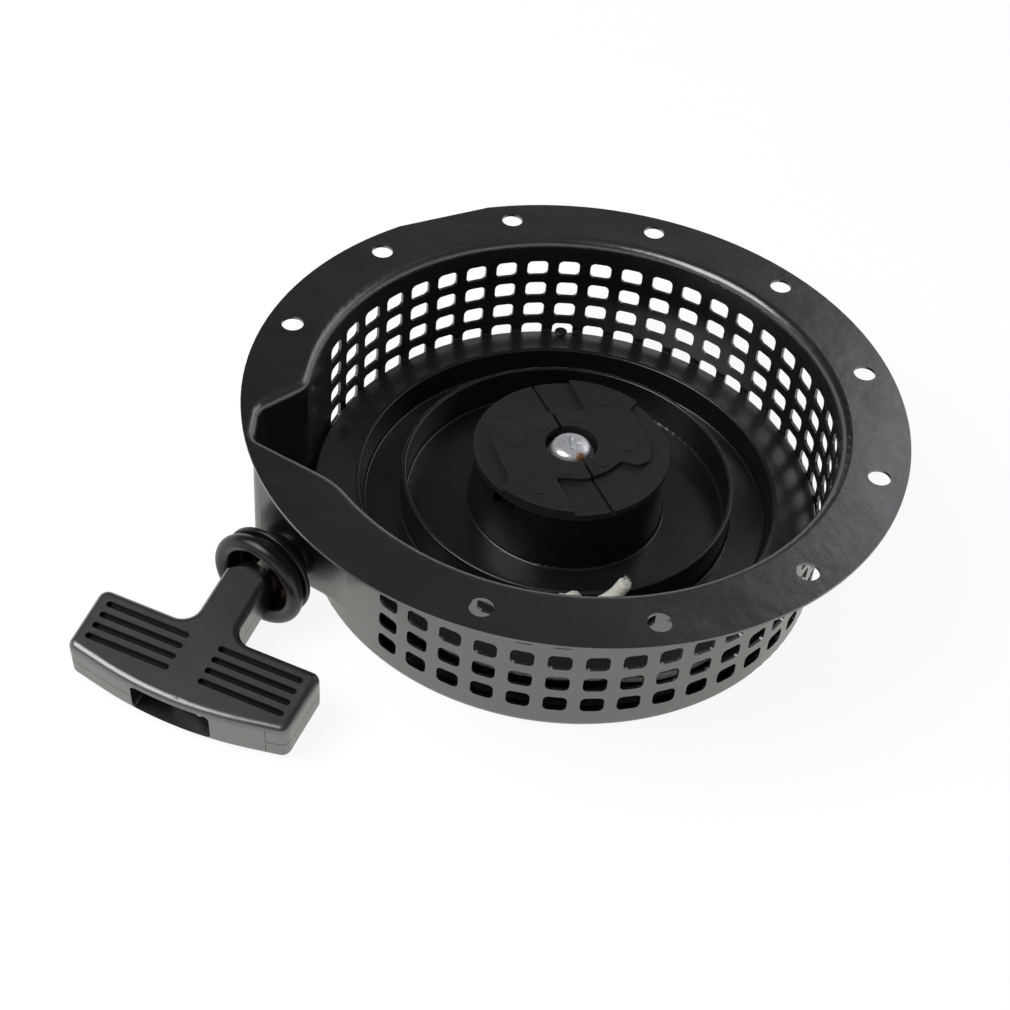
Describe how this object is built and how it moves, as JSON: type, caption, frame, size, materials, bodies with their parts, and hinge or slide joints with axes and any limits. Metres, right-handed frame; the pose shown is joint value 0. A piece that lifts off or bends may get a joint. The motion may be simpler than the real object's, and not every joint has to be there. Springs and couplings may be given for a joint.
{
  "type": "recoil starter",
  "caption": "Round pull-cord starter for a small engine: perforated steel housing with a drilled flange, rope reel, guide plate with pawls, and a T-handle on a cord.",
  "frame": {"origin": "centre of the flange's mounting face, on the reel's axis", "axes": "+Z out of the mounting face towards the engine; the closed bottom faces -Z; the flange's bolt holes lie at multiples of 30 degrees from +X"},
  "size_m": [0.2835, 0.2922, 0.0743],
  "materials": {
    "black_steel": "semi-gloss black baked paint on pressed steel",
    "guide_plastic": "smooth black moulded ring",
    "eyelet_metal": "polished, brown-tinted metal eyelet",
    "steel": "plain machined steel",
    "spring_steel": "blued spring steel",
    "zinc_steel": "bright zinc plate with a little rust",
    "bush_metal": "sintered bearing metal",
    "stud_metal": "brown-tinted pin head",
    "reel_plastic": "satin-gloss black moulding",
    "plate_plastic": "satin black moulding with ejector marks",
    "pawl_plastic": "satin black moulding",
    "handle_plastic": "fine-grained black moulding",
    "rope": "off-white braided cord"
  },
  "bodies": {
    "housing_body": {"housing": "black_steel", "rope_guide": "guide_plastic", "guide_eyelet": "eyelet_metal", "centre_post": "steel", "thrust_washer": "steel", "spring_case": "steel", "case_rivets": "steel", "mainspring": "spring_steel", "spring_pin": "steel", "friction_washer": "spring_steel", "screw_washer": "zinc_steel", "centre_screw": "zinc_steel"},
    "reel_body": {"reel": "reel_plastic", "reel_bush": "bush_metal", "reel_stud": "stud_metal", "rope_winding": "rope", "reel_knot": "rope", "pawl_pins": "steel", "pawl_springs": "spring_steel"},
    "pawl_a_body": {"pawl_a": "pawl_plastic"},
    "pawl_b_body": {"pawl_b": "pawl_plastic"},
    "plate_body": {"guide_plate": "plate_plastic"},
    "handle_body": {"rope_lead": "rope", "handle_top": "handle_plastic", "handle_bottom": "handle_plastic", "handle_insert": "handle_plastic", "handle_knot": "rope", "knot_washer": "zinc_steel"}
  },
  "joints": [
    {"name": "reel_spin", "type": "hinge", "parent": "housing_body", "child": "reel_body", "pos_m": [0, 0, -0.055], "axis": [0, 0, 1], "range_deg": [0, 505], "stiffness_Nm_per_rad": 0.02, "springref_deg": -343.77},
    {"name": "handle_pull", "type": "slide", "parent": "housing_body", "child": "handle_body", "axis": [-0.0958, -0.9947, 0.0384], "range_m": [0, 0.806]},
    {"name": "plate_turn", "type": "hinge", "parent": "reel_body", "child": "plate_body", "pos_m": [0, 0, -0.027], "axis": [0, 0, 1], "range_deg": [-25, 0], "stiffness_Nm_per_rad": 0.02},
    {"name": "pawl_a_swing", "type": "hinge", "parent": "reel_body", "child": "pawl_a_body", "pos_m": [0.02121, 0.02121, -0.0325], "axis": [0, 0, 1], "range_deg": [-35, 0]},
    {"name": "pawl_b_swing", "type": "hinge", "parent": "reel_body", "child": "pawl_b_body", "pos_m": [-0.02121, -0.02121, -0.0325], "axis": [0, 0, 1], "range_deg": [-35, 0]}
  ],
  "couplings": [
    {"joint": "handle_pull", "follows": "reel_spin", "m_per_rad": 0.0913},
    {"joint": "pawl_a_swing", "follows": "plate_turn", "ratio": 1.4},
    {"joint": "pawl_b_swing", "follows": "plate_turn", "ratio": 1.4}
  ]
}
